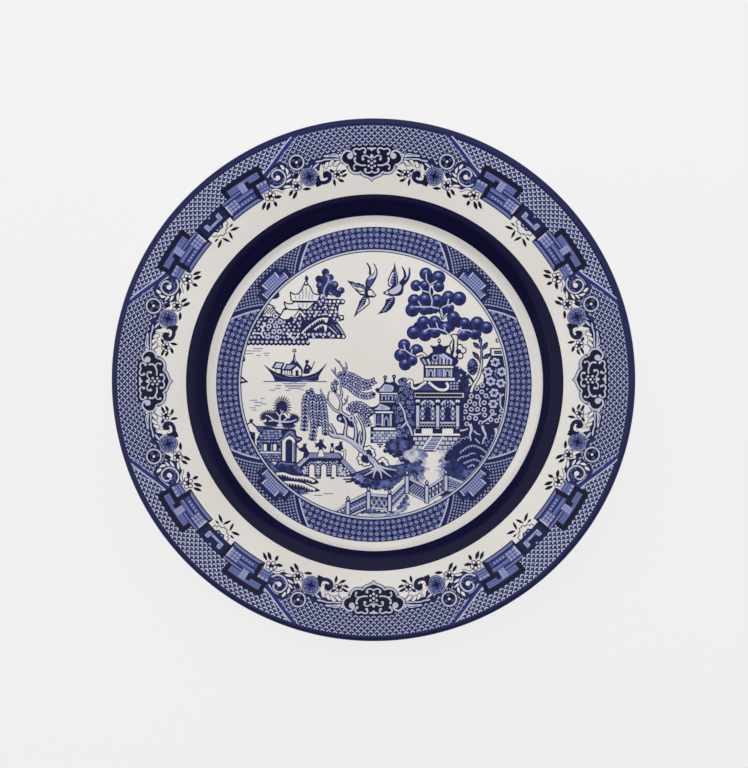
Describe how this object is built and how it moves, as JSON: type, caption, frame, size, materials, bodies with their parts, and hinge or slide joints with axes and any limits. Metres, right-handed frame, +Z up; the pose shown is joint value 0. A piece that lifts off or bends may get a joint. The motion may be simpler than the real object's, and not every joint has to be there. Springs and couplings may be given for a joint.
{
  "type": "china dinner plate",
  "caption": "Round dinner plate with a broad rim, a shallow well, a foot ring and blue printed decoration under a clear glaze.",
  "frame": {"origin": "centre of the foot ring, on the plane that the plate stands on", "axes": "+Z up along the plate's axis, out of its face; +Y towards the top of the printed scene; +X towards its right"},
  "size_m": [0.26, 0.26, 0.023],
  "materials": {
    "fired_clay": "matt biscuit",
    "clear_glaze": "glossy clear glaze over white clay",
    "cobalt_solid": "solid cobalt under gloss glaze",
    "cobalt_print": "cobalt line print under gloss glaze"
  },
  "bodies": {
    "root": {"plate_body": "fired_clay", "outer_glaze": "clear_glaze", "underside_glaze": "clear_glaze", "edge_line": "cobalt_solid", "verge_band": "cobalt_solid", "well_border_print": "cobalt_print", "scene_print": "cobalt_print", "rim_print_east": "cobalt_print", "rim_print_north": "cobalt_print", "rim_print_west": "cobalt_print", "rim_print_south": "cobalt_print"}
  },
  "joints": []
}
